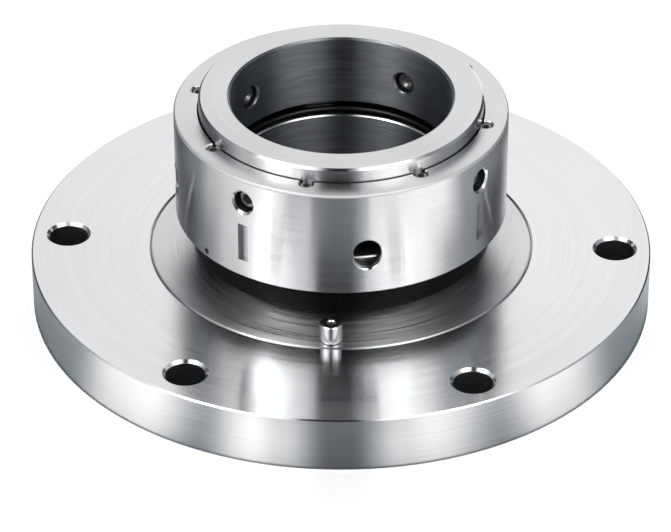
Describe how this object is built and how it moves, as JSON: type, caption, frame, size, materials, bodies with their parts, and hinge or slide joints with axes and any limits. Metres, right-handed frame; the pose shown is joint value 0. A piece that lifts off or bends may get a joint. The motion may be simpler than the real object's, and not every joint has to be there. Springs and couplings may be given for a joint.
{
  "type": "agitator mechanical seal",
  "caption": "Shaft seal for a vessel agitator: round mounting flange with a flush seat housing, and a rotating steel head that presses a black carbon ring on a fixed seat.",
  "frame": {"origin": "centre of the mounting flange's flat underside, on the shaft's axis", "axes": "+Z along the shaft, away from the vessel; +X and +Y lie in the mounting face, and the locating pin stands near -Y"},
  "size_m": [0.226, 0.226, 0.0835],
  "materials": {
    "flange_steel": "fine turned",
    "head_steel": "fine turned",
    "pin_steel": "ground",
    "screw_steel": "satin",
    "spring_steel": "drawn wire",
    "carbon": "satin",
    "seat_ceramic": "lapped",
    "rubber": "moulded"
  },
  "bodies": {
    "stator": {"mounting_flange": "flange_steel", "flange_o_ring": "rubber", "seat_housing": "flange_steel", "housing_o_ring": "rubber", "housing_screws": "screw_steel", "stationary_seat": "seat_ceramic", "seat_o_ring": "rubber", "seat_pins": "pin_steel", "locating_pin": "pin_steel"},
    "rotor": {"drive_collar": "head_steel", "outer_barrel": "head_steel", "set_screws": "screw_steel", "lock_screws": "screw_steel", "drive_keys": "pin_steel", "snap_ring": "spring_steel", "coil_spring_1": "spring_steel", "coil_spring_2": "spring_steel", "coil_spring_3": "spring_steel", "coil_spring_4": "spring_steel", "coil_spring_5": "spring_steel", "coil_spring_6": "spring_steel", "coil_spring_7": "spring_steel", "coil_spring_8": "spring_steel"},
    "sliding_face": {"face_carrier": "head_steel", "carbon_face_ring": "carbon", "shaft_o_ring": "rubber"}
  },
  "joints": [
    {"name": "head_spin", "type": "hinge", "parent": "stator", "child": "rotor", "pos_m": [0, 0, 0.06], "axis": [0, 0, 1], "continuous": true},
    {"name": "face_float", "type": "slide", "parent": "rotor", "child": "sliding_face", "axis": [0, 0, 1], "range_m": [0, 0.002], "stiffness_N_per_m": 16000, "springref_m": -0.003, "deforming": ["coil_spring_1", "coil_spring_2", "coil_spring_3", "coil_spring_4", "coil_spring_5", "coil_spring_6", "coil_spring_7", "coil_spring_8"]}
  ]
}
